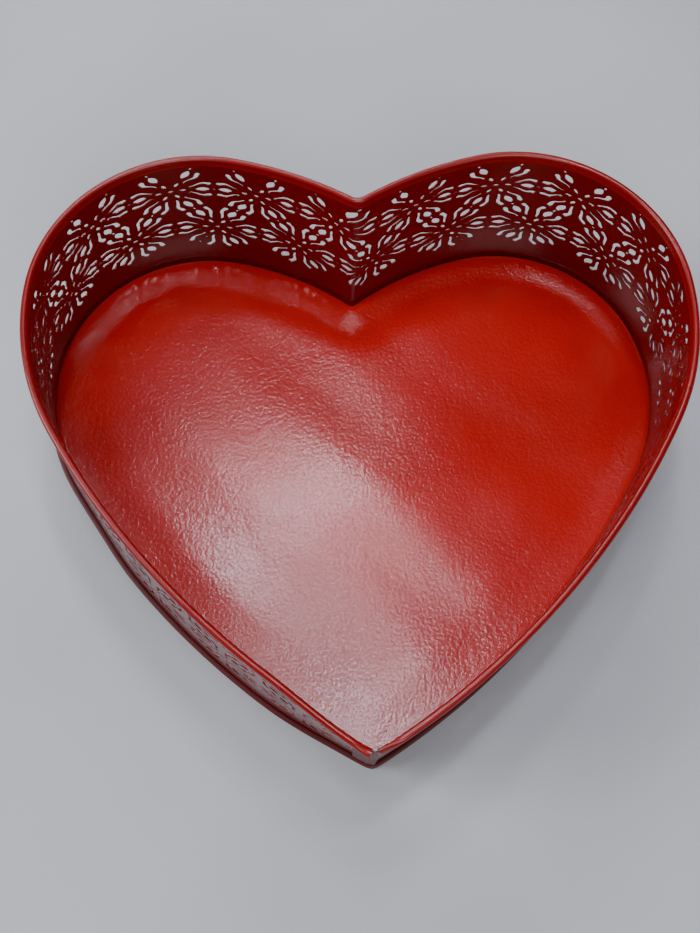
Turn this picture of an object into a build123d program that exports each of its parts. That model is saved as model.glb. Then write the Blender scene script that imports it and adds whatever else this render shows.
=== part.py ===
"""Open heart-shaped tray of thin painted steel sheet with a perforated flower-pattern wall.

Three pieces: the side wall, one perforated strip bent to a heart and joined to itself at the tip,
its top edge rolled outward into a bead; the steel wire that the bead is rolled round; and the floor
panel, whose edge is folded over the wall's foot flange.

Frame: millimetres, +Z up, the tray stands on Z = 0, the tip points to -Y and the cleft to +Y.
"""

import os
from math import acos, atan2, cos, degrees, pi, radians, sin, sqrt

from build123d import *

# --- driving dimensions: the tray -----------------------------------------------------------------
TRAY_HEIGHT = 77.0  # table to the top of the rolled bead
SHEET = 0.5  # thickness of the wall and floor sheet
TIP_REACH = 106.2  # how far the wall's foot at the tip lies in front of the origin
RIM_TIP_LEAN = 4.5  # how much further forward the rim's tip lies, because the wall leans out there

# One half of each outline, tip to cleft: heading at the tip, then (radius, turn) of tangent arcs. The
# last arc runs on to the cleft, which has its own small bend of the other hand.
FLOOR_HEADING = 30.0
FLOOR_ARCS = ((312.0, 29.5), (82.0, 35.5), (62.5, 98.5))
FLOOR_LAST_RADIUS = 127.0
FLOOR_CLEFT_RADIUS = 1.0
RIM_HEADING = 30.5
RIM_ARCS = ((292.0, 30.5), (94.0, 35.0), (59.5, 97.0))
RIM_LAST_RADIUS = 147.0
RIM_CLEFT_RADIUS = 7.0

# --- driving dimensions: rolled bead, foot flange, floor hem and lapped tip -------------------------
BEAD_RADIUS = 1.5
BEAD_OFFSET = 1.1  # bead's centre line, outward from the wall's outer face
# the slot under the curl, between its free edge and the wall: degrees from the inward direction,
# turning over the top
CURL_SLOT = (245.0, 320.0)
BEAD_NOTCH = (-3.5, 0.5)  # stretch of X at the tip where the two ends of the curl don't meet
WIRE_RADIUS = 0.95
WIRE_END_GAP = 9.0  # the wire stops this far short of the tip on each side
FLANGE_REACH = 1.4  # the wall's foot flange, outward from the wall's outer face
HEM_REACH = 2.0  # outer edge of the folded floor hem, from the wall's outer face
HEM_RETURN = 0.5  # inner edge of the folded floor hem, from the wall's outer face
LAP_LENGTH = 8.0  # overlap of the strip's end round the tip
LAP_ROOT = 1.5  # the lap's root on the other side of the tip

# --- driving dimensions: the punched pattern --------------------------------------------------------
FLOWER_PITCH = 34.5  # spacing of the flowers along the strip
PATTERN_SQUASH = 0.94  # the pattern is this much lower than a grid of equal triangles
LOWER_ROW_HEIGHT = 29.3
ROW_SPACING = FLOWER_PITCH * sqrt(3) / 2 * PATTERN_SQUASH
UPPER_ROW_PHASE = -8.0  # one flower of the upper row stands this far from the cleft, leftward
PETALS = 6
PETAL_DISTANCE, PETAL_LENGTH, PETAL_WIDTH = 12.8, 5.9, 2.6
PUNCH_REACH = 2.5  # the punches pass this far each side of the sheet
END_MARGIN = 10.0  # no hole lies nearer than this to the strip's ends

FLANGE_Z = SHEET  # the foot flange lies on the floor sheet
FOOT_Z = 2 * SHEET  # the wall rises from the top of its flange
BEAD_Z = TRAY_HEIGHT - BEAD_RADIUS
WALL_TOP_Z = BEAD_Z - 0.3 * BEAD_RADIUS  # the flat wall ends inside the curl's shell
RIM_TIP_REACH = TIP_REACH + RIM_TIP_LEAN


def half_outline(heading, arcs, last_radius, cleft_radius, tip_reach, inset):
    """Right half of a heart outline as circle arcs, tip to cleft.

    Returns a list of (centre_x, centre_y, radius, start_angle, sweep) in degrees. Each arc touches
    the next one. The outline is moved inward by inset, and starts and ends on the middle line.
    """
    circles = []
    x, y, direction = 0.0, -tip_reach, radians(heading)
    for radius, turn in (*arcs, (last_radius, 0.0)):
        cx, cy = x - radius * sin(direction), y + radius * cos(direction)
        circles.append((cx, cy, radius - inset, direction - pi / 2))
        direction += radians(turn)
        x, y = cx + radius * sin(direction), cy - radius * cos(direction)
    last_x, last_y, radius, _ = circles[-1]
    bend_radius = cleft_radius + inset
    bend_y = last_y + sqrt((last_radius + cleft_radius) ** 2 - last_x**2)
    if bend_radius > 0:  # the cleft bend is centred on the middle line and touches the last arc
        last_end = atan2(bend_y - last_y, -last_x)
    else:  # moved outward past the bend's centre, the two halves meet at a corner
        last_end = acos(-last_x / radius)
    cx, cy, radius, _ = circles[0]
    circles[0] = (cx, cy, radius, -acos(-cx / radius))
    ends = [start for *_, start in circles[1:]] + [last_end]
    outline = [
        (cx, cy, radius, degrees(start), degrees(end - start))
        for (cx, cy, radius, start), end in zip(circles, ends)
    ]
    if bend_radius > 0:
        bend_start = degrees(last_end) - 180
        outline.append((0.0, bend_y, bend_radius, bend_start, -90 - bend_start))
    return outline


def foot_half(inset=0.0):
    """Right half of the wall's outer face at its foot, moved inward by inset."""
    return half_outline(FLOOR_HEADING, FLOOR_ARCS, FLOOR_LAST_RADIUS, FLOOR_CLEFT_RADIUS, TIP_REACH, inset)


def rim_half(inset=0.0):
    """Right half of the wall's outer face at its top, moved inward by inset."""
    return half_outline(RIM_HEADING, RIM_ARCS, RIM_LAST_RADIUS, RIM_CLEFT_RADIUS, RIM_TIP_REACH, inset)


def arc_end(arc, fraction=1.0):
    """The point at a fraction of an arc's sweep."""
    cx, cy, radius, start, sweep = arc
    angle = radians(start + fraction * sweep)
    return (cx + radius * cos(angle), cy + radius * sin(angle))


def draw_half(half):
    """Draws the arcs of a half outline into the line builder in use."""
    for cx, cy, radius, start, sweep in half:
        CenterArc((cx, cy), radius, start, sweep)


def half_ring(outer, inner):
    """Draws the face between two half outlines into the sketch builder in use."""
    with BuildLine() as ring:
        draw_half(outer)
        Line(arc_end(outer[-1]), arc_end(inner[-1]))
        draw_half(inner)
        Line(arc_end(inner[0], 0.0), arc_end(outer[0], 0.0))
    make_face(ring.edges())


def half_disc(outer):
    """Draws the face between a half outline and the middle line into the sketch builder in use."""
    with BuildLine() as disc:
        draw_half(outer)
        Line(arc_end(outer[-1]), arc_end(outer[0], 0.0))
    make_face(disc.edges())


def shortened(half, length):
    """The first arc of a half outline, cut to a length along the curve."""
    cx, cy, radius, start, _ = half[0]
    return [(cx, cy, radius, start, degrees(length / radius))]


def along(half, distance):
    """Point and heading at a distance from the cleft, going towards the tip."""
    for cx, cy, radius, start, sweep in reversed(half):
        length = abs(radians(sweep)) * radius
        if distance <= length or (cx, cy) == half[0][:2]:
            turn = -1 if sweep > 0 else 1
            angle = radians(start + sweep) + turn * distance / radius
            heading = angle + turn * pi / 2
            return Vector(cx + radius * cos(angle), cy + radius * sin(angle)), Vector(cos(heading), sin(heading))
        distance -= length


def half_length(half):
    """Length of a half outline."""
    return sum(abs(radians(sweep)) * radius for _, _, radius, _, sweep in half)


FOOT_MIDDLE, RIM_MIDDLE = foot_half(SHEET / 2), rim_half(SHEET / 2)
STRIP_HALF = half_length(RIM_MIDDLE)


def strip_plane(distance, height, turn):
    """Plane on the wall's sheet: distance from the cleft along the strip (right positive), height.

    The plane's z axis leaves the sheet squarely, and its x axis is turned by turn degrees from the
    strip's run. Each height of the wall is the straight blend of its foot and rim outlines.
    """
    share = abs(distance) / STRIP_HALF
    foot, foot_run = along(FOOT_MIDDLE, share * half_length(FOOT_MIDDLE))
    rim, rim_run = along(RIM_MIDDLE, share * STRIP_HALF)
    rise = (height - FOOT_Z) / (WALL_TOP_Z - FOOT_Z)
    spot = foot + (rim - foot) * rise + Vector(0, 0, height)
    run = (foot_run + (rim_run - foot_run) * rise).normalized()
    up = (rim - foot + Vector(0, 0, WALL_TOP_Z - FOOT_Z)).normalized()
    if distance < 0:
        spot, run, up = (Vector(-v.X, v.Y, v.Z) for v in (spot, run, up))
        run = -run
    normal = run.cross(up).normalized()
    up = normal.cross(run)
    return Plane(origin=spot, x_dir=run * cos(radians(turn)) + up * sin(radians(turn)), z_dir=normal)


def petal_planes():
    """The plane of every petal hole: two rows of flowers, the lower one half a pitch along."""
    planes = []
    flowers = int(STRIP_HALF / FLOWER_PITCH) + 1
    for row, phase in enumerate((UPPER_ROW_PHASE + FLOWER_PITCH / 2, UPPER_ROW_PHASE)):
        for flower in range(-flowers, flowers + 1):
            for petal in range(PETALS):
                turn = petal * 360 / PETALS
                distance = phase + flower * FLOWER_PITCH + PETAL_DISTANCE * cos(radians(turn))
                rise = PETAL_DISTANCE * sin(radians(turn)) * PATTERN_SQUASH
                height = LOWER_ROW_HEIGHT + row * ROW_SPACING + rise
                if abs(distance) < STRIP_HALF - END_MARGIN:
                    planes.append(strip_plane(distance, height, turn))
    return planes


def bead_line(overrun=0.0):
    """Draws the right half of the bead's centre line, begun overrun before the middle line."""
    half = rim_half(-BEAD_OFFSET)
    cx, cy, radius, start, sweep = half[0]
    extra = degrees(overrun / radius)
    draw_half([(cx, cy, radius, start - extra, sweep + extra), *half[1:]])


def bead_section(line):
    """Plane across the bead at the start of its line: x points into the tray, y up."""
    start, run = line @ 0, line % 0
    return Plane(origin=start, x_dir=(-run.Y, run.X, 0), z_dir=run)


# --- the punches: the six petals of every flower, which are its largest holes ------------------------
with BuildPart() as punches:
    with BuildSketch(*petal_planes()):
        Ellipse(PETAL_LENGTH / 2, PETAL_WIDTH / 2)
    extrude(amount=PUNCH_REACH, both=True)

# --- the lap: the strip's end, folded round the tip on to the outside of the other end ---------------
with BuildPart() as lap:
    for side, length in ((1, LAP_ROOT), (-1, LAP_LENGTH)):
        for z, outline in ((FOOT_Z, foot_half), (WALL_TOP_Z, rim_half)):
            with BuildSketch(Plane.XY.offset(z)):
                half_ring(shortened(outline(-SHEET), length), shortened(outline(SHEET / 2), length))
                if side < 0:
                    mirror(about=Plane.YZ, mode=Mode.REPLACE)
        loft(ruled=True)
    split(bisect_by=Plane.XY.offset(FOOT_Z + 2 * SHEET), keep=Keep.TOP)
    split(bisect_by=Plane.XY.offset(BEAD_Z - 1.5 * BEAD_RADIUS), keep=Keep.BOTTOM)

# --- rolled bead: a slotted tube along the rim, with a notch where its ends meet at the tip -----------
with BuildPart() as bead:
    with BuildLine(Plane.XY.offset(BEAD_Z)) as bead_run:
        bead_line(overrun=3 * BEAD_RADIUS)
    with BuildSketch(bead_section(bead_run.line)):
        Circle(BEAD_RADIUS)
        Circle(BEAD_RADIUS - SHEET, mode=Mode.SUBTRACT)
        slot_corners = [(2 * BEAD_RADIUS * cos(radians(a)), 2 * BEAD_RADIUS * sin(radians(a))) for a in CURL_SLOT]
        Polygon((0, 0), *slot_corners, align=None, mode=Mode.SUBTRACT)
    sweep(path=bead_run.line)
    split(bisect_by=Plane.YZ, keep=Keep.TOP)
    mirror(about=Plane.YZ)

# --- side wall: perforated strip, foot flange, lap and bead are one sheet ------------------------------
with BuildPart() as side_wall:
    with BuildSketch(Plane.XY.offset(FOOT_Z)):
        half_ring(foot_half(), foot_half(SHEET))
    with BuildSketch(Plane.XY.offset(WALL_TOP_Z)):
        half_ring(rim_half(), rim_half(SHEET))
    loft(ruled=True)
    with BuildSketch(Plane.XY.offset(FLANGE_Z)):
        half_ring(foot_half(-FLANGE_REACH), foot_half(SHEET))
    extrude(amount=SHEET)
    mirror(about=Plane.YZ)
    add(lap.part)
    add(bead.part)
    notch_width = BEAD_NOTCH[1] - BEAD_NOTCH[0]
    with BuildSketch(Plane.XY.offset(BEAD_Z - BEAD_RADIUS)):
        with Locations(((BEAD_NOTCH[0] + BEAD_NOTCH[1]) / 2, -RIM_TIP_REACH)):
            Rectangle(notch_width, 6 * BEAD_RADIUS)
    extrude(amount=3 * BEAD_RADIUS, mode=Mode.SUBTRACT)
    add(punches.part, mode=Mode.SUBTRACT)
side_wall.part.label = "side_wall"

# --- rim wire: fills the bead and stops short of the tip on both sides -------------------------------
with BuildPart() as rim_wire:
    with BuildLine(Plane.XY.offset(BEAD_Z)) as wire_run:
        bead_line()
    with BuildSketch(bead_section(wire_run.line)):
        Circle(WIRE_RADIUS)
    sweep(path=wire_run.line)
    with BuildSketch(Plane.XY.offset(BEAD_Z - BEAD_RADIUS)):
        with Locations((0, -RIM_TIP_REACH)):
            Rectangle(2 * WIRE_END_GAP, 4 * WIRE_END_GAP)
    extrude(amount=2 * BEAD_RADIUS, mode=Mode.SUBTRACT)
    mirror(about=Plane.YZ)
rim_wire.part.label = "rim_wire"

# --- floor panel: flat heart, its edge folded up and back over the wall's foot flange -----------------
with BuildPart() as floor_panel:
    with BuildSketch():
        half_disc(foot_half(-HEM_REACH))
    extrude(amount=SHEET)
    with BuildSketch():
        half_ring(foot_half(-HEM_REACH), foot_half(SHEET - HEM_REACH))
    extrude(amount=3 * SHEET)
    with BuildSketch(Plane.XY.offset(2 * SHEET)):
        half_ring(foot_half(-HEM_REACH), foot_half(-HEM_RETURN))
    extrude(amount=SHEET)
    mirror(about=Plane.YZ)
floor_panel.part.label = "floor_panel"

os.makedirs("parts", exist_ok=True)
for piece in (side_wall, rim_wire, floor_panel):
    export_step(piece.part, f"parts/{piece.part.label}.step", write_pcurves=False)
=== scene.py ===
"""Looks of the heart-shaped tray: perforated wall, rolled rim, lapped tip and floor in red enamel.

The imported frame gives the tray's place and size. The wall and the floor panel are rebuilt as fine
meshes from the same heart outlines as the CAD model, because the wall's full punched pattern and the
floor's low ridge and waves are too fine for it. The wire in the rolled edge is drawn again as well,
because it follows the rim's tip, which is pulled aside.

Lengths are millimetres until a mesh is written, in metres.
"""

import logging
import math
from dataclasses import dataclass
from enum import Enum

import bpy
import numpy as np
from mathutils import Matrix, Vector
from mathutils.geometry import delaunay_2d_cdt
from mathutils.kdtree import KDTree


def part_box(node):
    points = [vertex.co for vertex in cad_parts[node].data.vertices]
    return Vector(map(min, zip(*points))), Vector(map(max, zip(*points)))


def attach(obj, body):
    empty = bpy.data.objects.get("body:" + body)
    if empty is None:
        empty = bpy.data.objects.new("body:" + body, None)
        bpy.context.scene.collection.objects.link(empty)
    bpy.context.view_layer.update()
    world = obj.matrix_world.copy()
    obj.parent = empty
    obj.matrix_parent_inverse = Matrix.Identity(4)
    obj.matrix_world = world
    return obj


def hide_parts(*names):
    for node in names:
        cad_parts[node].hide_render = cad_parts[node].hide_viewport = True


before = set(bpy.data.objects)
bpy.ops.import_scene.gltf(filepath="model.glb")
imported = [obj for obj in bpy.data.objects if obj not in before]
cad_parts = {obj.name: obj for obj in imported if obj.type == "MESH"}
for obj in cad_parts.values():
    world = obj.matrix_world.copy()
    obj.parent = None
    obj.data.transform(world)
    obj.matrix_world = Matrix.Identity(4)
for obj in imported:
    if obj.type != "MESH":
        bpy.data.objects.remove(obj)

MM = 0.001
BODY = "root"
LOG = logging.getLogger("heart_tray")
Array = np.ndarray


# --- sizes ----------------------------------------------------------------------------------------


@dataclass(frozen=True)
class OutlineSize:
    """One half of a heart outline, tip to cleft, as tangent arcs (millimetres, degrees).

    It leaves the tip at the heading, follows each arc's radius and turn, and ends with the last
    radius and the cleft's own bend. The tip's reach is its distance in front of the origin.
    """

    heading: float
    arcs: tuple[tuple[float, float], ...]
    last_radius: float
    cleft_radius: float
    tip_reach: float


@dataclass(frozen=True)
class TraySize:
    """Sizes of the sheet, the bead, the hem, the lap and the uneven tip, in millimetres.

    The tip's pull (x, y) is that of the rim, and its spread is how far from the middle line it fades
    out, left and right. The foot's push (x, y) is that of the left wall's bulge, which grows and
    shrinks again over the two given ranges of distance to the left of the middle line.
    """

    sheet: float = 0.5
    foot_z: float = 1.0
    flat_top_z: float = 73.2
    rim_z: float = 75.05
    bead_z: float = 75.7
    bead_radius: float = 1.3
    bead_offset: float = 1.0
    wire_radius: float = 0.76
    wire_end_gap: float = 9.0
    flange_reach: float = 0.7
    hem_reach: float = 1.9
    cad_hem_reach: float = 2.0
    hem_return: float = 0.15
    lap_length: float = 8.0
    lap_root: float = 1.5
    tip_blunting: float = 1.6
    blunt_fade: tuple[float, float] = (30.0, 15.0)
    blunt_before_y: float = -60.0
    tip_pull: tuple[float, float] = (-2.5, -1.4)
    tip_pull_spread: tuple[float, float] = (36.0, 22.0)
    foot_push: tuple[float, float] = (-1.15, -0.85)
    push_growth: tuple[float, float] = (8.0, 38.0)
    push_decline: tuple[float, float] = (85.0, 120.0)
    push_depth: float = 30.0


@dataclass(frozen=True)
class RimEnd:
    """How one end of the rolled rim is crushed at the tip.

    The crushing grows from start to full, in millimetres before the tip. It widens the curl's reach
    and lowers it by shares of its own size.
    """

    start: float
    full: float
    widening: float
    lowering: float


@dataclass(frozen=True)
class PatternSize:
    """The punched flower pattern; shares are of the flower pitch."""

    pitch: float = 34.5
    flatness: float = 0.94
    lower_row: float = 29.3
    upper_phase: float = -8.0
    petals: int = 6
    end_margin: float = 4.0


STATION_SPACING = 2.0
FOOT_OUTLINE = OutlineSize(30.0, ((312.0, 29.5), (82.0, 35.5), (62.5, 98.5)), 127.0, 1.0, 106.2)
RIM_OUTLINE = OutlineSize(30.5, ((292.0, 30.5), (94.0, 35.0), (59.5, 97.0)), 147.0, 7.0, 110.7)


# --- heart geometry -------------------------------------------------------------------------------


class HeartOutline:
    """A closed heart outline of tangent arcs, symmetric about the middle line.

    A place on it is a station: 0 at the cleft, 5 at the tip, one unit for each arc, and negative on
    the left side.
    """

    ARC_COUNT = 5

    def __init__(self, size: OutlineSize, shift: float) -> None:
        """Works out the arc centres of the outer face.

        Args:
            size: radii and turns of one half.
            shift: how far the frame moves the outline towards +Y.
        """
        self.size = size
        centres = []
        x, y, direction = 0.0, shift - size.tip_reach, math.radians(size.heading)
        for radius, turn in (*size.arcs, (size.last_radius, 0.0)):
            cx = x - radius * math.sin(direction)
            cy = y + radius * math.cos(direction)
            centres.append((cx, cy, radius, direction - math.pi / 2))
            direction += math.radians(turn)
            x, y = cx + radius * math.sin(direction), cy - radius * math.cos(direction)
        self._circles = np.array(centres)

    def arcs(self, inset: float = 0.0) -> Array:
        """Arcs of the outline moved inward, cleft first.

        Args:
            inset: distance inward; negative moves it outward.

        Returns:
            Rows of centre x, centre y, radius, angle at the cleft end and angle at the tip end.
        """
        cx, cy, radius, start = self._circles.T.copy()
        radius = radius - inset
        bend = max(self.size.cleft_radius + inset, 0.02)
        bend_y = cy[-1] + math.sqrt((radius[-1] + bend) ** 2 - cx[-1] ** 2)
        last_end = math.atan2(bend_y - cy[-1], -cx[-1])
        start[0] = -math.acos(-cx[0] / radius[0])
        ends = np.append(start[1:], last_end)
        body = np.stack([cx, cy, radius, ends, start], axis=1)[::-1]
        bend_row = np.array([[0.0, bend_y, bend, -math.pi / 2, last_end - math.pi]])
        return np.vstack([bend_row, body])

    def lengths(self, inset: float = 0.0) -> Array:
        """Length of each arc, cleft first."""
        arcs = self.arcs(inset)
        return arcs[:, 2] * np.abs(arcs[:, 3] - arcs[:, 4])

    def at(self, station: Array, inset: float = 0.0) -> tuple[Array, Array]:
        """Points and outward normals.

        Args:
            station: signed stations.
            inset: distance inward from the outer face.

        Returns:
            Points (N, 2) and unit outward normals (N, 2).
        """
        arcs = self.arcs(inset)
        place = np.clip(np.abs(station), 0.0, self.ARC_COUNT)
        index = np.minimum(place.astype(int), self.ARC_COUNT - 1)
        cx, cy, radius, cleft_end, tip_end = arcs[index].T
        angle = cleft_end + (place - index) * (tip_end - cleft_end)
        side = np.where(station < 0, -1.0, 1.0)
        hollow = np.where(index == 0, -1.0, 1.0)
        ray = np.stack([np.cos(angle), np.sin(angle)], axis=1)
        points = np.stack([cx, cy], axis=1) + radius[:, None] * ray
        normals = ray * hollow[:, None]
        points[:, 0] *= side
        normals[:, 0] *= side
        return points, normals


class WallShape:
    """The upright wall: straight lines between the foot outline and the rim outline."""

    def __init__(self, foot: HeartOutline, rim: HeartOutline, size: TraySize) -> None:
        """Keeps both outlines and the lengths along the middle of the sheet.

        Args:
            foot: outline at the foot.
            rim: outline at the rim.
            size: sheet thickness and heights.
        """
        self.foot, self.rim, self.size = foot, rim, size
        lengths = (foot.lengths(size.sheet / 2) + rim.lengths(size.sheet / 2)) / 2
        self._marks = np.concatenate([[0.0], np.cumsum(lengths)])

    @property
    def half_length(self) -> float:
        """Length of the strip from the cleft to the tip."""
        return float(self._marks[-1])

    def station(self, distance: Array) -> Array:
        """Stations at signed distances from the cleft."""
        place = np.interp(np.abs(distance), self._marks, np.arange(len(self._marks)))
        return np.copysign(place, distance)

    def at(self, distance: Array, height: Array, inset: float) -> tuple[Array, Array]:
        """Points on the wall and its level outward normals.

        Each point is the blend of the foot and rim outlines at the same station, by height.

        Args:
            distance: signed distances from the cleft.
            height: heights above the table.
            inset: depth from the outer face.

        Returns:
            Points (N, 3) and level outward normals (N, 2).
        """
        station = self.station(distance)
        foot, foot_normal = self.foot.at(station, inset)
        rim, rim_normal = self.rim.at(station, inset)
        rise = ((height - self.size.foot_z) / (self.size.rim_z - self.size.foot_z))[:, None]
        plan = foot + (rim - foot) * rise
        normal = foot_normal + (rim_normal - foot_normal) * np.clip(rise, 0.0, 1.0)
        normal /= np.linalg.norm(normal, axis=1, keepdims=True)
        return np.column_stack([plan, height]), normal

    def stations_along(self, spacing: float) -> Array:
        """Signed distances along the strip, closer together in the cleft's bend."""
        half = self.half_length
        even = np.linspace(0.0, half, int(half / spacing) + 1)
        bend = np.linspace(0.0, self._marks[1], 10)
        marks = np.unique(np.concatenate([even[even > self._marks[1] + spacing / 2], bend]).round(6))
        return np.concatenate([-marks[:0:-1], marks])


# --- mesh helpers ---------------------------------------------------------------------------------


def add_mesh(name: str, points: Array, faces: list | Array) -> bpy.types.Object:
    """Makes a smooth-shaded mesh object from millimetre points.

    Args:
        name: object and mesh name.
        points: (N, 3) in millimetres.
        faces: vertex indices of each face.

    Returns:
        The linked object, standing at the origin.
    """
    mesh = bpy.data.meshes.new(name)
    mesh.from_pydata((points * MM).tolist(), [], faces if isinstance(faces, list) else faces.tolist())
    mesh.validate()
    mesh.polygons.foreach_set("use_smooth", np.ones(len(mesh.polygons), bool))
    mesh.update()
    obj = bpy.data.objects.new(name, mesh)
    bpy.context.scene.collection.objects.link(obj)
    return obj


def grid_faces(rows: int, columns: int, close_rows: bool = False, close_columns: bool = False) -> Array:
    """Quads of a grid whose vertices are numbered row by row.

    Args:
        rows: vertex rows.
        columns: vertex columns.
        close_rows: join the last row to the first.
        close_columns: join the last column to the first.

    Returns:
        (M, 4) vertex indices.
    """
    r = np.arange(rows if close_rows else rows - 1)
    c = np.arange(columns if close_columns else columns - 1)
    r, c = (a.ravel() for a in np.meshgrid(r, c, indexing="ij"))
    r2, c2 = (r + 1) % rows, (c + 1) % columns
    return np.stack([r * columns + c, r * columns + c2, r2 * columns + c2, r2 * columns + c], axis=1)


def ring_points(shape: WallShape, runs: Array, profile: Array) -> Array:
    """A profile carried round the foot outline.

    Args:
        shape: the wall, for its foot outline and stations.
        runs: distances along the strip.
        profile: rows of outward reach from the outer face, and height.

    Returns:
        (N, 3) points, one ring for each row of the profile.
    """
    stations = shape.station(runs)
    plans = [shape.foot.at(stations, -reach)[0] for reach in profile[:, 0]]
    heights = np.repeat(profile[:, 1], len(runs))
    return np.column_stack([np.vstack(plans), heights])


def soften_tip(points: Array, size: TraySize) -> Array:
    """Blunts the corner at the tip and pulls the rim's tip forward and to the left.

    The blunting moves y in by tan(30) times sqrt(x^2 + a^2) - |x|, because each wall meets the middle
    line's normal at about 30 degrees. The pull grows in line with height, and fades along both walls.
    The foot of the left wall is pushed out between the tip and the lobe, because the sheet bulges
    there, and that push shrinks in line with height.

    Args:
        points: (N, 3) points of a piece.
        size: gives a, which is the tip's blunting, and the pull, the push and their ranges.

    Returns:
        The moved points.
    """
    x, y, z = points.T
    a = size.tip_blunting
    blunt = math.tan(math.radians(30.0)) * (np.sqrt(x**2 + a**2) - np.abs(x))
    blunt = blunt * ease(np.abs(x), *size.blunt_fade) * (y < size.blunt_before_y)
    rise = np.clip((z - size.foot_z) / (size.rim_z - size.foot_z), 0.0, 1.0)
    spread = np.where(x < 0, *size.tip_pull_spread)
    pull = (1.0 - smooth_step(np.abs(x) / spread)) * (y < 0.0) * rise
    push = ease(-x, *size.push_growth) * (1.0 - ease(-x, *size.push_decline))
    push = push * smooth_step(-y / size.push_depth) * (1.0 - rise)
    return np.column_stack([
        x + size.tip_pull[0] * pull + size.foot_push[0] * push,
        y + blunt + size.tip_pull[1] * pull + size.foot_push[1] * push,
        z,
    ])


def smooth_step(x: Array) -> Array:
    """0 below 0, 1 above 1, and 3x^2 - 2x^3 between."""
    x = np.clip(x, 0.0, 1.0)
    return x * x * (3.0 - 2.0 * x)


def ease(x: Array, start: float, end: float) -> Array:
    """The smooth step from 0 at start to 1 at end, which may be the smaller of the two."""
    return smooth_step((x - start) / (end - start))


# --- the punched pattern --------------------------------------------------------------------------


def ellipse(centre: float, length: float, width: float, count: int) -> Array:
    """An ellipse on the axis, counter-clockwise.

    Args:
        centre: distance of its middle from the flower's middle.
        length: full length along the axis.
        width: full width.
        count: number of corners.

    Returns:
        Corners (count, 2).
    """
    angle = np.arange(count) * 2 * math.pi / count
    return np.stack([centre + length / 2 * np.cos(angle), width / 2 * np.sin(angle)], axis=1)


def almond(centre: float, length: float, width: float, count: int) -> Array:
    """A pointed lens on the axis: half width falls as (1 - x^2)^0.85 towards both ends.

    Args:
        centre: distance of its middle from the flower's middle.
        length: full length along the axis.
        width: full width.
        count: number of corners.

    Returns:
        Corners (count, 2), counter-clockwise.
    """
    angle = np.arange(count) * 2 * math.pi / count
    x = np.cos(angle)
    y = np.sign(np.sin(angle)) * (1 - x**2) ** 0.85
    return np.stack([centre + length / 2 * x, width / 2 * y], axis=1)


def scroll(side: int, count: int = 13) -> Array:
    """The S-shaped slot beside a petal.

    Its middle line leaves the flower close to the axis, swings out past the petal and hooks back at
    its end, while the slot grows from a thin start to a round end.

    Args:
        side: 1 above the axis, -1 below it.
        count: points along each edge.

    Returns:
        Corners, counter-clockwise, in shares of the pitch.
    """
    t = np.linspace(0.0, 1.0, count)
    along = 0.212 + 0.232 * t
    away = 0.058 + 0.082 * smooth_step(t / 0.8) - 0.020 * smooth_step((t - 0.55) / 0.45)
    half_width = 0.0125 + 0.0180 * t**1.5
    run = np.stack([np.gradient(along), np.gradient(away)], axis=1)
    run /= np.linalg.norm(run, axis=1, keepdims=True)
    left = np.stack([-run[:, 1], run[:, 0]], axis=1)
    middle = np.stack([along, away], axis=1)
    upper = middle + left * half_width[:, None]
    lower = middle - left * half_width[:, None]
    cap_angle = np.radians([-54.0, -18.0, 18.0, 54.0])
    cap = middle[-1] + half_width[-1] * (
        run[-1] * np.cos(cap_angle)[:, None] + left[-1] * np.sin(cap_angle)[:, None]
    )
    start = (middle[0] - run[0] * half_width[0])[None]
    corners = np.vstack([lower, cap, upper[::-1], start])
    return corners if side > 0 else corners[::-1] * [1.0, -1.0]


class FlowerPattern:
    """Two staggered rows of six-fold flowers of holes, unrolled: x along the strip, y up."""

    def __init__(self, size: PatternSize, half_length: float, top: float) -> None:
        """Lays the holes out.

        Args:
            size: the pattern's sizes.
            half_length: half the strip's length.
            top: no hole reaches above this height.
        """
        self.size, self.half_length, self.top = size, half_length, top

    def _cell(self) -> list[Array]:
        """The holes of one flower and the dots that lead to its neighbours, in shares of the pitch."""
        eye = ellipse(0.0, 0.072, 0.042, 10)
        bud = ellipse(0.143, 0.092, 0.044, 8)
        petal = almond(0.370, 0.178, 0.092, 14)
        dot = ellipse(0.5, 0.056, 0.030, 6)
        holes = [eye]
        for step in range(self.size.petals):
            shapes = [bud, petal, scroll(1), scroll(-1)]
            # A dot lies half way to a neighbour, so each flower draws half of its dots.
            if step < self.size.petals // 2:
                shapes.append(dot)
            angle = step * 2 * math.pi / self.size.petals
            turn = np.array([[math.cos(angle), math.sin(angle)], [-math.sin(angle), math.cos(angle)]])
            holes += [shape @ turn for shape in shapes]
        return holes

    def holes(self) -> list[Array]:
        """Every hole as corners (N, 2) in millimetres, clear of the strip's edges."""
        size = self.size
        scale = np.array([size.pitch, size.pitch * size.flatness])
        rise = size.pitch * math.sqrt(3) / 2 * size.flatness
        flowers = int(self.half_length / size.pitch) + 2
        found = []
        for row in range(2):
            phase = size.upper_phase + (0.0 if row else size.pitch / 2)
            for step in range(-flowers, flowers + 1):
                middle = np.array([phase + step * size.pitch, size.lower_row + row * rise])
                for shape in self._cell():
                    hole = middle + shape * scale
                    inside = np.abs(hole[:, 0]).max() < self.half_length - size.end_margin
                    if inside and hole[:, 1].max() < self.top:
                        found.append(hole)
        return found


# --- pieces ---------------------------------------------------------------------------------------


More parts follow.
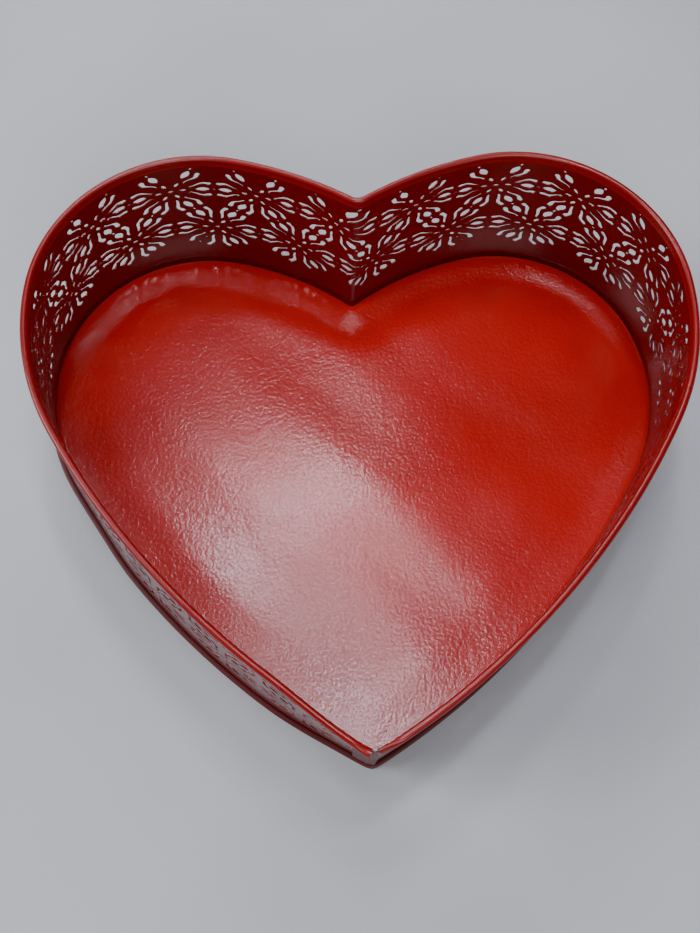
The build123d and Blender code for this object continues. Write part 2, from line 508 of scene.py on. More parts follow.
def inside_loops(spots: Array, which: Array, loops: list[Array]) -> Array:
    """Whether each spot is inside its own loop: a line to its right crosses it an odd number of times.

    Every loop is padded with its first corner to one length, which adds no crossing. The outline,
    which no spot belongs to, may be cut short.

    Args:
        spots: (N, 2) points.
        which: the loop's index for each spot.
        loops: corners of every loop.

    Returns:
        N truth values.
    """
    longest = max(len(loops[i]) for i in np.unique(which))
    padded = np.stack([
        np.vstack([loop, np.repeat(loop[:1], max(longest - len(loop), 0), axis=0)])[:longest]
        for loop in loops
    ])
    start = padded[which]
    end = np.roll(start, -1, axis=1)
    x, y = spots[:, :1], spots[:, 1:]
    spans = (start[..., 1] > y) != (end[..., 1] > y)
    climb = np.where(spans, end[..., 1] - start[..., 1], 1.0)
    crossing = start[..., 0] + (y - start[..., 1]) * (end[..., 0] - start[..., 0]) / climb
    return (spans & (x < crossing)).sum(axis=1) % 2 == 1


class PerforatedWall:
    """The side wall's sheet with every hole cut through it, its rolled rim, lap and foot flange."""

    FILL_SPACING = 3.0
    HOLE_CLEARANCE = 1.5
    CURL_DEGREES = (205.0, -65.0)
    NECK_HANDLES = (0.9, 0.6)
    END_RUN, END_STEPS = 12.0, 12
    LEFT_END = RimEnd(start=8.0, full=2.0, widening=0.10, lowering=0.22)
    RIGHT_END = RimEnd(start=9.0, full=1.0, widening=-0.30, lowering=0.22)
    RIGHT_DROOP, DROOP_REACH = 2.2, 2.5
    LAP_RISE = 0.9
    LAP_GAP, LAP_STAND_OFF = 0.02, 0.18
    RIPPLE, RIPPLE_SPREAD = 0.16, 3.6

    def __init__(self, size: TraySize, shape: WallShape, pattern: FlowerPattern) -> None:
        """Keeps the sizes.

        Args:
            size: sheet and bead sizes.
            shape: the wall's form.
            pattern: the punched pattern.
        """
        self.size, self.shape, self.pattern = size, shape, pattern
        self.runs = shape.stations_along(STATION_SPACING)

    def _fill_points(self, holes: list[Array]) -> Array:
        """Extra points between the holes, so that the plain stretches follow the wall's bend."""
        tree = KDTree(sum(len(hole) for hole in holes))
        for i, corner in enumerate(np.vstack(holes)):
            tree.insert((*corner, 0.0), i)
        tree.balance()
        levels = np.arange(self.size.foot_z, self.size.flat_top_z - 1.0, self.FILL_SPACING)[1:]
        grid = np.stack(np.meshgrid(self.runs[1:-1], levels), axis=-1).reshape(-1, 2)
        clear = [tree.find((*spot, 0.0))[2] > self.HOLE_CLEARANCE for spot in grid]
        return grid[np.array(clear)]

    def _triangulate(self, holes: list[Array]) -> tuple[Array, Array]:
        """Triangles of the unrolled sheet without its holes.

        Args:
            holes: corners of each hole.

        Returns:
            Points (N, 2) and counter-clockwise triangles (M, 3).
        """
        runs, foot_z, top_z = self.runs, self.size.foot_z, self.size.flat_top_z
        lower = np.stack([runs, np.full_like(runs, foot_z)], axis=1)
        upper = np.stack([runs[::-1], np.full_like(runs, top_z)], axis=1)
        levels = np.arange(foot_z, top_z, self.FILL_SPACING)[1:]
        right = np.stack([np.full_like(levels, runs[-1]), levels], axis=1)
        left = np.stack([np.full_like(levels, runs[0]), levels[::-1]], axis=1)
        loops = [np.vstack([lower, right, upper, left]), *holes]
        starts = np.cumsum([0] + [len(loop) for loop in loops])
        edges = np.vstack([
            np.stack([np.arange(len(loop)), np.roll(np.arange(len(loop)), -1)], axis=1) + start
            for loop, start in zip(loops, starts)
        ])
        points = np.vstack([*loops, self._fill_points(holes)])
        found = delaunay_2d_cdt([Vector(spot) for spot in points.tolist()], edges.tolist(), [], 0, 1e-6)
        if len(found[0]) != len(points):
            raise ValueError("two outlines of the pattern cross")
        triangles = np.array(found[2])
        owner = np.full(len(points), -1)
        owner[: starts[-1]] = np.repeat(np.arange(len(loops)), np.diff(starts))
        corners = owner[triangles]
        filled = (corners[:, 0] > 0) & (corners == corners[:, :1]).all(axis=1)
        filled[filled] = inside_loops(points[triangles[filled]].mean(axis=1), corners[filled, 0], loops)
        return points, triangles[~filled]

    def sheet(self) -> tuple[Array, list]:
        """Both faces of the sheet, joined along every free edge of the outline and the holes.

        Returns:
            Points (N, 3) and faces.
        """
        holes = self.pattern.holes()
        flat, triangles = self._triangulate(holes)
        outer, _ = self.shape.at(flat[:, 0], flat[:, 1], 0.0)
        inner, _ = self.shape.at(flat[:, 0], flat[:, 1], self.size.sheet)
        count = len(flat)
        sides = np.vstack([triangles[:, [0, 1]], triangles[:, [1, 2]], triangles[:, [2, 0]]])
        free = sides[~np.isin(sides @ [count, 1], sides[:, ::-1] @ [count, 1])]
        a, b = free.T
        walls = np.stack([b + count, a + count, a, b], axis=1)
        LOG.info("wall sheet: %d holes, %d triangles", len(holes), 2 * len(triangles) + 2 * len(walls))
        faces = [*triangles[:, ::-1].tolist(), *(triangles + count).tolist(), *walls.tolist()]
        return soften_tip(np.vstack([outer, inner]), self.size), faces

    def _rim_profile(self) -> Array:
        """Middle line of the neck and the curl: outward reach from the sheet's middle, height.

        The sheet turns a little outward in a shallow neck, swings back and rolls over the top and
        round until its free edge is under the bead. The neck is a cubic Bezier curve whose handles
        point straight up at the sheet and back along the curl.

        Returns:
            Rows of reach and height.
        """
        size = self.size
        radius = size.bead_radius - size.sheet / 2
        centre = size.bead_offset + size.sheet / 2
        sweep = np.radians(np.linspace(*self.CURL_DEGREES, 25))
        curl = np.stack([centre + radius * np.cos(sweep), size.bead_z + radius * np.sin(sweep)], axis=1)
        t = np.linspace(0.0, 1.0, 7)[:-1]
        first, last = np.array([0.0, size.flat_top_z]), curl[0]
        upward = np.array([0.0, self.NECK_HANDLES[0]])
        onward = np.array([-math.sin(sweep[0]), math.cos(sweep[0])]) * -self.NECK_HANDLES[1]
        neck = (
            np.outer((1 - t) ** 3, first)
            + np.outer(3 * t * (1 - t) ** 2, first + upward)
            + np.outer(3 * t**2 * (1 - t), last - onward)
            + np.outer(t**3, last)
        )
        return np.vstack([neck, curl])

    def rim(self) -> tuple[Array, Array]:
        """The rolled rim, as the profile's two faces swept along the strip.

        Near the left end the curl is pressed open and flat, and near the right end it is pinched and
        bent down. It stops one short step before the tip on both sides, with a flat cap.

        Returns:
            Points (N, 3) and quads (M, 4).
        """
        size, half = self.size, self.shape.half_length
        line = self._rim_profile()
        run = np.gradient(line, axis=0)
        run /= np.linalg.norm(run, axis=1, keepdims=True)
        across = np.stack([run[:, 1], -run[:, 0]], axis=1) * size.sheet / 2
        reach, height = np.vstack([line + across, (line - across)[::-1]]).T
        inner = self.runs[np.abs(self.runs) < half - self.END_RUN]
        ends = np.linspace(half - self.END_RUN, half, self.END_STEPS + 1)[:-1]
        distance = np.concatenate([-ends[::-1], inner, ends])[:, None]
        left_end, right_end = self.LEFT_END, self.RIGHT_END
        left = ease(half + distance, left_end.start, left_end.full)
        right = ease(half - distance, right_end.start, right_end.full)
        rise = height - size.flat_top_z
        reach = reach * (1 + left_end.widening * left + right_end.widening * right)
        height = size.flat_top_z + rise * (1 - left_end.lowering * left - right_end.lowering * right)
        height = height - self.RIGHT_DROOP * right * smooth_step(reach / self.DROOP_REACH)
        level = np.full(len(distance), size.flat_top_z)
        base, normal = self.shape.at(distance[:, 0], level, size.sheet / 2)
        plan = base[:, None, :2] + reach[..., None] * normal[:, None, :]
        points = np.concatenate([plan, height[..., None]], axis=2)
        rows, columns = height.shape
        faces = grid_faces(rows, columns, close_columns=True)
        first = np.arange(columns // 2 - 1)
        cap = np.stack([first, first + 1, columns - 2 - first, columns - 1 - first], axis=1)
        faces = np.vstack([faces, cap[:, ::-1], cap + (rows - 1) * columns])
        return soften_tip(points.reshape(-1, 3), size), faces

    def flange(self) -> tuple[Array, Array]:
        """The foot flange: a flat ring from the wall's inner face out into the floor's hem.

        Returns:
            Points (N, 3) and quads (M, 4).
        """
        size = self.size
        profile = np.array([
            [size.flange_reach, size.foot_z - size.sheet], [size.flange_reach, size.foot_z],
            [-size.sheet, size.foot_z], [-size.sheet, size.foot_z - size.sheet],
        ])
        return soften_tip(ring_points(self.shape, self.runs[:-1], profile), size), grid_faces(
            len(profile), len(self.runs) - 1, close_rows=True, close_columns=True
        )

    def lap(self) -> tuple[Array, Array]:
        """The strip's end folded round the tip on to the outside, crumpled where it was hammered.

        The fold stands a fifth of a millimetre off the wall plus ripples: upright creases that grow
        towards the tip as exp(-(d/s)^2), each bent a little by a slow wave up the wall.

        Returns:
            Points (N, 3) and quads (M, 4).
        """
        size, half = self.size, self.shape.half_length
        left = -np.linspace(half - size.lap_length, half, 25)
        right = np.linspace(half, half - size.lap_root, 7)
        along = np.concatenate([left, right])
        height = np.linspace(size.foot_z + 2 * size.sheet, size.flat_top_z + self.LAP_RISE, 40)
        u, z = (a.ravel() for a in np.meshgrid(along, height, indexing="ij"))
        from_tip = np.where(u < 0, -half - u, half - u)
        wave = np.sin(from_tip * 2.3 + 0.9 * np.sin(z / 6.5)) + 0.5 * np.sin(from_tip * 4.1 - z / 9.0)
        ripple = self.RIPPLE * wave * np.exp(-((from_tip / self.RIPPLE_SPREAD) ** 2))
        layers = []
        for depth in (self.LAP_GAP, size.sheet + self.LAP_GAP):
            points, normal = self.shape.at(u, z, -depth)
            points[:, :2] += normal * (ripple + self.LAP_STAND_OFF)[:, None]
            layers.append(points)
        rows, columns = len(along), len(height)
        count = rows * columns
        face = grid_faces(rows, columns)
        index = np.arange(count).reshape(rows, columns)
        border = np.concatenate([index[0], index[1:, -1], index[-1, -2::-1], index[-2:0:-1, 0]])
        after = np.roll(border, -1)
        sides = np.stack([border, after, after + count, border + count], axis=1)
        faces = np.vstack([face, face[:, ::-1] + count, sides])
        return soften_tip(np.vstack(layers), size), faces

    def build(self) -> list[bpy.types.Object]:
        """Makes the sheet, the rolled rim, the lap and the foot flange."""
        return [
            add_mesh("perforated_wall", *self.sheet()),
            add_mesh("rolled_rim", *self.rim()),
            add_mesh("tip_lap", *self.lap()),
            add_mesh("foot_flange", *self.flange()),
        ]


class RimWire:
    """The steel wire inside the rolled rim, in one run that stops short of the tip on both sides."""

    SIDES = 12

    def __init__(self, size: TraySize, shape: WallShape) -> None:
        """Keeps the sizes.

        Args:
            size: wire radius and place in the bead.
            shape: the wall's form.
        """
        self.size, self.shape = size, shape

    def build(self) -> bpy.types.Object:
        """Makes the wire: a circle carried along the bead's middle line, its ends closed."""
        size = self.size
        runs = self.shape.stations_along(STATION_SPACING)
        runs = runs[np.abs(runs) < self.shape.half_length - size.wire_end_gap]
        turn = np.arange(self.SIDES) * 2 * math.pi / self.SIDES
        level = np.full(len(runs), size.flat_top_z)
        base, normal = self.shape.at(runs, level, size.sheet / 2)
        reach = size.bead_offset + size.sheet / 2 + size.wire_radius * np.cos(turn)
        plan = base[:, None, :2] + reach[None, :, None] * normal[:, None, :]
        height = np.broadcast_to(size.bead_z + size.wire_radius * np.sin(turn), plan.shape[:2])
        points = np.concatenate([plan, height[..., None]], axis=2).reshape(-1, 3)
        sides = grid_faces(len(runs), self.SIDES, close_columns=True).tolist()
        last = len(points) - self.SIDES
        ends = [list(range(self.SIDES))[::-1], list(range(last, last + self.SIDES))]
        return add_mesh("steel_rim_wire", soften_tip(points, size), [*sides, *ends])


class FloorPanel:
    """The floor: a thin sheet with a low ridge by the wall, its edge folded over the foot flange."""

    # Distances from the wall to the floor's rings, closer together over the ridge.
    INSETS = (
        24.0, 20.0, 16.0, 13.0, 10.5, 8.5, 7.0, 5.6, 4.6, 3.8, 3.2, 2.7, 2.2, 1.8, 1.4, 1.0, 0.6, 0.0,
    )
    INNERMOST = INSETS[0]
    INNER_RINGS = 20
    CENTRE = (0.0, 12.0)
    RIDGE_TOP, RIDGE_FALL = 1.8, 14.0
    # The ridge's height along the straight walls, and what the lobes add to it behind a line.
    RIDGE_HEIGHT, LOBE_HEIGHT = 0.25, 1.6
    LOBE_LINE = (50.0, 80.0)
    # The waves' deepest trough is 0.44 mm, so this keeps the sheet above the table.
    WAVE_LIFT = 0.45

    def __init__(self, size: TraySize, shape: WallShape) -> None:
        """Keeps the sizes.

        Args:
            size: sheet and hem sizes.
            shape: the wall's form, for its foot outline.
        """
        self.size, self.shape = size, shape

    def _crown(self, inset: Array) -> Array:
        """Shape of the low ridge by the wall: it climbs at once and falls slowly inward."""
        fall = smooth_step((inset - self.RIDGE_TOP) / self.RIDGE_FALL)
        return smooth_step(inset / self.RIDGE_TOP) * (1.0 - fall)

    def _profile(self) -> Array:
        """Inset and height from the middle's top side, round the fold, to the middle's underside."""
        sheet, hem = self.size.sheet, self.size.hem_reach
        insets = np.array(self.INSETS)
        top = np.stack([insets, np.full_like(insets, sheet)], axis=1)
        bend = -hem + 1.5 * sheet
        turn = np.radians(np.linspace(-90.0, 90.0, 9))
        inside = np.stack([bend - sheet / 2 * np.cos(turn), 1.5 * sheet + sheet / 2 * np.sin(turn)], axis=1)
        outside = np.stack([bend - 1.5 * sheet * np.cos(turn), 1.5 * sheet * (1 + np.sin(turn))], axis=1)
        lip = -self.size.hem_return
        end = np.array([[lip, 2 * sheet], [lip - 0.02, 3 * sheet - 0.12], [lip - 0.14, 3 * sheet]])
        under = np.stack([insets, np.zeros_like(insets)], axis=1)[::-1]
        return np.vstack([top, inside, end, outside[::-1], under])

    def _undulation(self, points: Array, reach: Array) -> Array:
        """Slow waves of the thin sheet, 35 to 110 mm long, that die out at its edge.

        Args:
            points: (..., 3) points of the floor.
            reach: distance of each ring from the wall.

        Returns:
            The height to add at each point.
        """
        x, y = points[..., 0], points[..., 1]
        wave = (
            0.20 * np.sin(x / 17.0 + 0.6 * np.sin(y / 23.0))
            + 0.16 * np.sin(y / 13.0 + x / 31.0 + 1.3)
            + 0.08 * np.sin((x + y) / 8.0 + 0.5)
        )
        return (wave + self.WAVE_LIFT) * smooth_step(reach / self.INNERMOST)

    def build(self) -> bpy.types.Object:
        """Makes the panel: the profile's rings, then rings that shrink to a middle point."""
        runs = self.shape.stations_along(STATION_SPACING)[:-1]
        profile = self._profile()
        rings = ring_points(self.shape, runs, profile * [-1.0, 1.0]).reshape(len(profile), len(runs), 3)
        shares = np.linspace(0.0, 1.0, self.INNER_RINGS + 2)[1:-1, None, None]
        middle = np.array([*self.CENTRE, 0.0])
        flat = np.array([1.0, 1.0, 0.0])
        top = middle + (rings[:1] * flat - middle) * shares + rings[:1] * (1 - flat)
        under = middle + (rings[-1:] * flat - middle) * shares[::-1] + rings[-1:] * (1 - flat)
        points = np.vstack([top, rings, under])
        reach = np.concatenate([
            np.full(len(top), self.INNERMOST), profile[:, 0], np.full(len(under), self.INNERMOST),
        ])
        ridge = self.RIDGE_HEIGHT + self.LOBE_HEIGHT * ease(points[..., 1], *self.LOBE_LINE)
        points[..., 2] += self._crown(reach[:, None]) * ridge + self._undulation(points, reach[:, None])
        rows, columns = points.shape[:2]
        last = (rows - 1) * columns
        faces = grid_faces(rows, columns, close_columns=True)
        around = np.arange(columns)
        after = np.roll(around, -1)
        poles = np.array([points[0].mean(axis=0), points[-1].mean(axis=0)])
        count = rows * columns
        fan = np.stack([np.full(columns, count), after, around], axis=1)
        base = np.stack([np.full(columns, count + 1), around + last, after + last], axis=1)
        points = np.vstack([points.reshape(-1, 3), poles])
        panel = add_mesh(
            "floor_sheet", soften_tip(points, self.size), [*faces.tolist(), *fan.tolist(), *base.tolist()]
        )
        # The hem's faces take the second material, the enamel painted darkest as painted shade on the fold.
        hem = np.zeros(len(panel.data.polygons), np.int32)
        hem[: len(faces)] = np.repeat(reach[1:] <= 0.0, columns)
        panel.data.polygons.foreach_set("material_index", hem)
        return panel


# --- finishes -------------------------------------------------------------------------------------


def srgb(code: str) -> tuple[float, float, float, float]:
    """Linear colour of an sRGB hex value such as "#A01010"."""
    parts = np.array([int(code[i : i + 2], 16) for i in (1, 3, 5)]) / 255.0
    linear = np.where(parts <= 0.04045, parts / 12.92, ((parts + 0.055) / 1.055) ** 2.4)
    return (*linear.tolist(), 1.0)


def add_node(
    material: bpy.types.Material, kind: str, values: dict | None = None, **settings: object
) -> bpy.types.Node:
    """Adds a node, sets its properties and its sockets, and links where a value is another socket.

    Args:
        material: the material that gets the node.
        kind: Blender's type name of the node.
        values: socket name or index to a value or an output socket.
        **settings: node properties.

    Returns:
        The node.
    """
    node = material.node_tree.nodes.new(kind)
    for name, value in settings.items():
        setattr(node, name, value)
    for name, value in (values or {}).items():
        if isinstance(value, bpy.types.NodeSocket):
            material.node_tree.links.new(value, node.inputs[name])
        else:
            node.inputs[name].default_value = value
    return node


def new_material(name: str) -> bpy.types.Material:
    """An empty node material."""
    material = bpy.data.materials.new(name)
    material.use_nodes = True
    material.node_tree.nodes.clear()
    return material


def finish_material(material: bpy.types.Material, shader: bpy.types.Node) -> bpy.types.Material:
    """Joins a shader to the material's output."""
    add_node(material, "ShaderNodeOutputMaterial", {"Surface": shader.outputs[0]})
    return material


def ramp(node: bpy.types.Node, stops: list[tuple[float, str]]) -> bpy.types.NodeSocket:
    """Sets a colour ramp's stops.

    Args:
        node: the ramp.
        stops: position with a hex colour.

    Returns:
        The ramp's colour output.
    """
    elements = node.color_ramp.elements
    while len(elements) < len(stops):
        elements.new(0.5)
    for element, (position, code) in zip(elements, stops):
        element.position = position
        element.color = srgb(code)
    return node.outputs["Color"]


@dataclass(frozen=True)
class BakedEnamel:
    """Gloss baked enamel, sprayed on sheet steel.

    The thick wet coat dries with an orange-peel skin about a millimetre across, which breaks its
    highlights into a mottle. The floor has the coarser skin, hairline scratches and dust nibs.
    """

    name: str
    deep: str
    full: str
    roughness: float
    peel_mm: float
    peel_depth_mm: float
    scratches: float
    nibs: float

    # Tone drifts over patches some 70 mm across (noise scale is per metre).
    TONE_SCALE = 14.0
    SWELL_MM, SWELL_SHARE = 9.0, 0.45
    NIB_SPACING_MM, NIB_HEIGHT_MM, NIB_WIDTH = 7.0, 0.12, 0.075
    WORN_COLOUR, WORN_ROUGHNESS = "#B8383A", 0.15

    def make(self) -> bpy.types.Material:
        """Builds the material on Object coordinates."""
        m = new_material(self.name)
        place = add_node(m, "ShaderNodeTexCoord").outputs["Object"]
        tone = add_node(m, "ShaderNodeTexNoise", {
            "Vector": place, "Scale": self.TONE_SCALE, "Detail": 4.0, "Roughness": 0.55,
        })
        tint = add_node(m, "ShaderNodeValToRGB", {"Fac": tone.outputs["Fac"]})
        colour = ramp(tint, [(0.30, self.deep), (0.72, self.full)])
        peel = add_node(m, "ShaderNodeTexNoise", {
            "Vector": place, "Scale": 1.0 / (1.6 * self.peel_mm * MM), "Detail": 2.0, "Roughness": 0.45,
            "Distortion": 0.35,
        })
        swell = add_node(m, "ShaderNodeTexNoise", {
            "Vector": place, "Scale": 1.0 / (self.SWELL_MM * MM), "Detail": 1.0,
        })
        grown = add_node(m, "ShaderNodeMath", {
            0: swell.outputs["Fac"], 1: self.SWELL_SHARE, 2: peel.outputs["Fac"],
        }, operation="MULTIPLY_ADD")
        skin = add_node(m, "ShaderNodeBump", {
            "Height": grown.outputs[0], "Distance": self.peel_depth_mm * MM, "Strength": 1.0,
        })
        normal = skin.outputs["Normal"]
        if self.nibs:
            specks = add_node(m, "ShaderNodeTexVoronoi", {
                "Vector": place, "Scale": 1.0 / (self.NIB_SPACING_MM * MM),
            })
            dots = add_node(m, "ShaderNodeMapRange", {
                "Value": specks.outputs["Distance"], "From Min": 0.0, "From Max": self.NIB_WIDTH,
                "To Min": 1.0, "To Max": 0.0,
            }, interpolation_type="SMOOTHSTEP")
            few = add_node(m, "ShaderNodeMath", {
                0: specks.outputs["Color"], 1: 1.0 - self.nibs,
            }, operation="GREATER_THAN")
            nib = add_node(m, "ShaderNodeMath", {
                0: dots.outputs[0], 1: few.outputs[0],
            }, operation="MULTIPLY")
            normal = add_node(m, "ShaderNodeBump", {
                "Height": nib.outputs[0], "Distance": self.NIB_HEIGHT_MM * MM, "Normal": normal,
            }).outputs["Normal"]
        rough = add_node(m, "ShaderNodeMapRange", {
            "Value": tone.outputs["Fac"], "From Min": 0.3, "From Max": 0.7,
            "To Min": self.roughness - 0.04, "To Max": self.roughness + 0.05,
        }).outputs[0]
        if self.scratches:
            mark = self._scratches(m, place)
            rough = add_node(m, "ShaderNodeMath", {
                0: mark, 1: self.WORN_ROUGHNESS, 2: rough,
            }, operation="MULTIPLY_ADD").outputs[0]
            colour = add_node(m, "ShaderNodeMix", {
                0: mark, 6: colour, 7: srgb(self.WORN_COLOUR),
            }, data_type="RGBA").outputs[2]
        shader = add_node(m, "ShaderNodeBsdfPrincipled", {
            "Base Color": colour, "Roughness": rough, "IOR": 1.52, "Normal": normal,
        })
        return finish_material(m, shader)

    def _scratches(self, m: bpy.types.Material, place: bpy.types.NodeSocket) -> bpy.types.NodeSocket:
        """Hairline scratches: thin lines of stretched noise in two directions, inside worn patches.

        Args:
            m: the material.
            place: Object coordinates.

        Returns:
            An output that is 0 on clean paint and larger on a scratch.
        """
        lines = []
        for turn, seed in ((0.95, 3.1), (-0.5, 8.7)):
            turned = add_node(m, "ShaderNodeMapping", {"Vector": place, "Rotation": (0.0, 0.0, turn)})
            drawn = add_node(m, "ShaderNodeMapping", {
                "Vector": turned.outputs[0], "Scale": (45.0, 1100.0, 1.0), "Location": (seed, seed, 0.0),
            })
            streak = add_node(m, "ShaderNodeTexNoise", {
                "Vector": drawn.outputs[0], "Scale": 1.0, "Detail": 2.0,
            })
            line = add_node(m, "ShaderNodeMapRange", {
                "Value": streak.outputs["Fac"], "From Min": 0.70, "From Max": 0.74,
            })
            lines.append(line.outputs[0])
        both = add_node(m, "ShaderNodeMath", {0: lines[0], 1: lines[1]}, operation="MAXIMUM")
        patch = add_node(m, "ShaderNodeTexNoise", {"Vector": place, "Scale": 16.0, "Detail": 1.0})
        worn = add_node(m, "ShaderNodeMapRange", {
            "Value": patch.outputs["Fac"], "From Min": 0.50, "From Max": 0.62, "To Max": self.scratches,
        })
        marks = add_node(m, "ShaderNodeMath", {
            0: both.outputs[0], 1: worn.outputs[0],
        }, operation="MULTIPLY")
        return marks.outputs[0]


@dataclass(frozen=True)
class DrawnWire:
    """Bright drawn steel wire: a soft metal sheen broken by a fine grain, drawn about 1 mm coarse."""

    name: str = "drawn_steel_wire"
    colour: str = "#B9B4AE"
    roughness: float = 0.34

    def make(self) -> bpy.types.Material:
        """Builds the material on Object coordinates."""
        m = new_material(self.name)
        place = add_node(m, "ShaderNodeTexCoord").outputs["Object"]
        drawn = add_node(m, "ShaderNodeTexNoise", {"Vector": place, "Scale": 900.0, "Detail": 3.0})
        rough = add_node(m, "ShaderNodeMapRange", {
            "Value": drawn.outputs["Fac"], "To Min": self.roughness - 0.08, "To Max": self.roughness + 0.12,
        })
        bump = add_node(m, "ShaderNodeBump", {"Height": drawn.outputs["Fac"], "Distance": 0.02 * MM})
        return finish_material(m, add_node(m, "ShaderNodeBsdfPrincipled", {
            "Base Color": srgb(self.colour), "Metallic": 1.0, "Roughness": rough.outputs[0],
            "Normal": bump.outputs["Normal"],
        }))


@dataclass(frozen=True)
class TableTop:
    """The plain pale table: matt, slightly uneven in tone."""

    name: str = "pale_table"
    light: str = "#B9BCC2"
    dark: str = "#AEB1B8"
    roughness: float = 0.5

    def make(self) -> bpy.types.Material:
        """Builds the material on Object coordinates."""
        m = new_material(self.name)
        place = add_node(m, "ShaderNodeTexCoord").outputs["Object"]
        tone = add_node(m, "ShaderNodeTexNoise", {"Vector": place, "Scale": 5.0, "Detail": 3.0})
        tint = add_node(m, "ShaderNodeValToRGB", {"Fac": tone.outputs["Fac"]})
        return finish_material(m, add_node(m, "ShaderNodeBsdfPrincipled", {
            "Base Color": ramp(tint, [(0.35, self.dark), (0.65, self.light)]),
            "Roughness": self.roughness, "Specular IOR Level": 0.3,
        }))


class FinishAndShade(Enum):
    """The object's finishes. The wall, the rim and the folds carry copies of the floor's red enamel painted
    darker, as painted shade: a little on the wall and rim, most on the hem, flange and lap.
    """

    # Painted shade: the same red enamel as the floor, painted darker on the upright wall.
    SHADED_WALL = BakedEnamel("red_enamel_wall_shaded", "#5E0006", "#6C0308", 0.20, 0.9, 0.012, 0.0, 0.0)
    # Painted shade: the rolled rim's enamel is painted darker than the floor's.
    SHADED_RIM = BakedEnamel("red_enamel_rim_shaded", "#7C0306", "#8A0508", 0.28, 0.9, 0.010, 0.0, 0.0)
    # Painted shade: the hem, foot flange and lap are painted darkest, for the shade in and under the folds.
    SHADED_FOLDS = BakedEnamel("red_enamel_folds_shaded", "#4E0004", "#620206", 0.48, 0.9, 0.020, 0.0, 0.0)
    FLOOR = BakedEnamel("red_enamel_floor", "#A80805", "#B40B06", 0.20, 0.8, 0.095, 0.35, 0.10)
    WIRE = DrawnWire()


# --- studio ---------------------------------------------------------------------------------------


@dataclass(frozen=True)
class AreaLamp:
    """A soft rectangular lamp that points at a spot on the tray (metres, watts)."""

    name: str
    spot: tuple[float, float, float]
    place: tuple[float, float, float]
    size: tuple[float, float]
    power: float
    colour: str = "#FFFFFF"

    def build(self) -> None:
        """Makes the lamp."""
        data = bpy.data.lights.new(self.name, "AREA")
        data.shape = "RECTANGLE"
        data.size, data.size_y = self.size
        data.energy = self.power
        data.color = srgb(self.colour)[:3]
        lamp = bpy.data.objects.new(self.name, data)
        lamp.location = self.place
        lamp.rotation_euler = (Vector(self.place) - Vector(self.spot)).to_track_quat("Z", "Y").to_euler()
        bpy.context.scene.collection.objects.link(lamp)


@dataclass(frozen=True)
class Studio:
    """Table, lamps, surroundings and camera."""

    # The two windows and the overhead lamp draw the bright band on the floor. The rest fill the walls.
    lamps: tuple[AreaLamp, ...] = (
        AreaLamp("window", (-0.02, 0.0, 0.0), (-0.035, 0.41, 1.20), (0.09, 0.16), 2.3, "#F4F6FF"),
        AreaLamp("window_end", (0.0, -0.08, 0.0), (0.085, 0.13, 1.20), (0.045, 0.10), 1.7, "#F4F6FF"),
        AreaLamp("overhead", (0.0, 0.0, 0.0), (-0.06, -0.05, 1.30), (0.34, 0.14), 3.2, "#F8F8FF"),
        AreaLamp("front_fill", (0.0, 0.0, 0.0), (0.3, -1.5, 1.5), (1.4, 0.9), 21.0, "#FFFFFF"),
        AreaLamp("left_fill", (0.0, 0.0, 0.0), (-1.8, 0.1, 1.4), (1.0, 1.4), 31.0, "#FFFFFF"),
        AreaLamp("back_low", (0.0, 0.05, 0.0), (-0.25, 1.45, 1.3), (1.2, 0.35), 15.0, "#FFFFFF"),
    )
    surroundings: float = 0.10
    target: tuple[float, float, float] = (-0.00352, 0.01326, 0.0)
    distance: float = 0.482
    azimuth: float = 6.5
    elevation: float = 68.4
    roll: float = 4.65
    lens: float = 60.8
    table_reach_mm: float = 2500.0
    table_points: int = 11
    # A hair below the tray's foot, so that the two faces don't fight.
    table_drop_mm: float = 0.02

    def build(self) -> None:
        """Makes everything round the tray."""
        self._table()
        for lamp in self.lamps:
            lamp.build()
        self._world()
        self._camera()

    def _table(self) -> None:
        """A wide pale table whose edge is far outside the main view."""
        count = self.table_points
        steps = np.linspace(-self.table_reach_mm, self.table_reach_mm, count)
        x, y = (a.ravel() for a in np.meshgrid(steps, steps, indexing="ij"))
        points = np.column_stack([x, y, np.full_like(x, -self.table_drop_mm)])
        table = add_mesh("table", points, grid_faces(count, count))
        table.data.materials.append(TableTop().make())

    def _world(self) -> None:
        """Even grey surroundings."""
        world = bpy.data.worlds.new("room")
        world.use_nodes = True
        background = world.node_tree.nodes["Background"]
        background.inputs["Color"].default_value = srgb("#C9CCD2")
        background.inputs["Strength"].default_value = self.surroundings
        bpy.context.scene.world = world

    def _camera(self) -> None:
        """A camera held above the front of the tray and rolled a little."""
        azimuth, elevation = math.radians(self.azimuth), math.radians(self.elevation)
        level = math.cos(elevation)
        away = Vector((-math.sin(azimuth) * level, -math.cos(azimuth) * level, math.sin(elevation)))
        data = bpy.data.cameras.new("camera")
        data.sensor_fit, data.sensor_width, data.lens = "HORIZONTAL", 36.0, self.lens
        data.clip_start = 0.01
        camera = bpy.data.objects.new("camera", data)
        turn = away.to_track_quat("Z", "Y").to_matrix() @ Matrix.Rotation(math.radians(self.roll), 3, "Z")
        camera.matrix_world = Matrix.LocRotScale(Vector(self.target) + away * self.distance, turn, None)
        bpy.context.scene.collection.objects.link(camera)
        bpy.context.scene.camera = camera


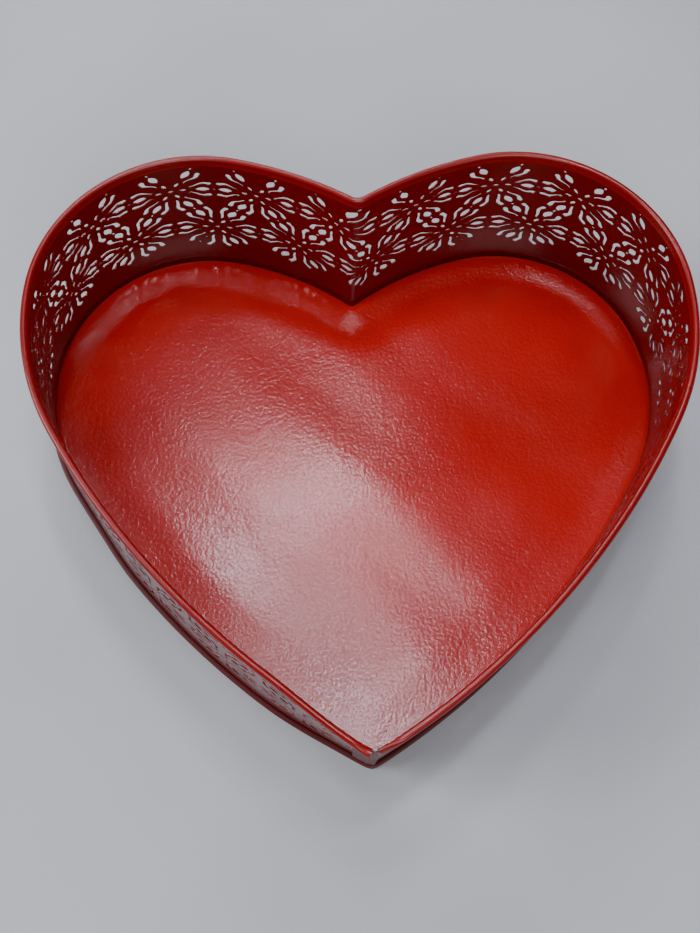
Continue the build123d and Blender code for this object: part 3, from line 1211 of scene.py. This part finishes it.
# --- the tray -------------------------------------------------------------------------------------


OUTLINE_SAMPLES = 4001
PLAIN_TOP = 0.6
CREASE_DEGREES = 38.0


def dress(obj: bpy.types.Object, *materials: bpy.types.Material) -> None:
    """Gives an object its materials, in the order of its faces' numbers."""
    for material in materials:
        obj.data.materials.append(material)


def main() -> None:
    """Builds the tray, dresses it and sets the studio up."""
    logging.basicConfig(level=logging.INFO, format="%(message)s")
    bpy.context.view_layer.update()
    tray, pattern = TraySize(), PatternSize()
    # The frame's floor panel ends one hem's reach behind the foot outline's lobes.
    stations = np.linspace(0.0, HeartOutline.ARC_COUNT, OUTLINE_SAMPLES)
    unmoved, _ = HeartOutline(FOOT_OUTLINE, 0.0).at(stations)
    lobe_top = float(unmoved[:, 1].max())
    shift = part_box("floor_panel")[1][1] / MM - tray.cad_hem_reach - lobe_top
    LOG.info("frame shift %.3f mm", shift)
    shape = WallShape(HeartOutline(FOOT_OUTLINE, shift), HeartOutline(RIM_OUTLINE, shift), tray)
    flowers = FlowerPattern(pattern, shape.half_length, tray.flat_top_z - PLAIN_TOP)

    materials = {finish: finish.value.make() for finish in FinishAndShade}
    sheet, rim, lap, flange = PerforatedWall(tray, shape, flowers).build()
    wire = RimWire(tray, shape).build()
    floor = FloorPanel(tray, shape).build()
    # The wall, rim, lap and flange get enamel painted darker than the floor's, as painted shade; the
    # floor's hem gets the darkest as well.
    dress(sheet, materials[FinishAndShade.SHADED_WALL])
    dress(rim, materials[FinishAndShade.SHADED_RIM])
    dress(lap, materials[FinishAndShade.SHADED_FOLDS])
    dress(flange, materials[FinishAndShade.SHADED_FOLDS])
    dress(wire, materials[FinishAndShade.WIRE])
    dress(floor, materials[FinishAndShade.FLOOR], materials[FinishAndShade.SHADED_FOLDS])
    red, steel = "red_enamel", "wire_steel"
    for piece, node, slot in (
        (sheet, "side_wall", red),
        (rim, "side_wall", red),
        (lap, "side_wall", red),
        (flange, "side_wall", red),
        (floor, "floor_panel", red),
        (wire, "rim_wire", steel),
    ):
        piece.data.set_sharp_from_angle(angle=math.radians(CREASE_DEGREES))
        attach(piece, BODY)
        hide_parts(node)
        LOG.info("%s stands for %s", piece.name, node)
    Studio().build()


if __name__ == "__main__":
    main()
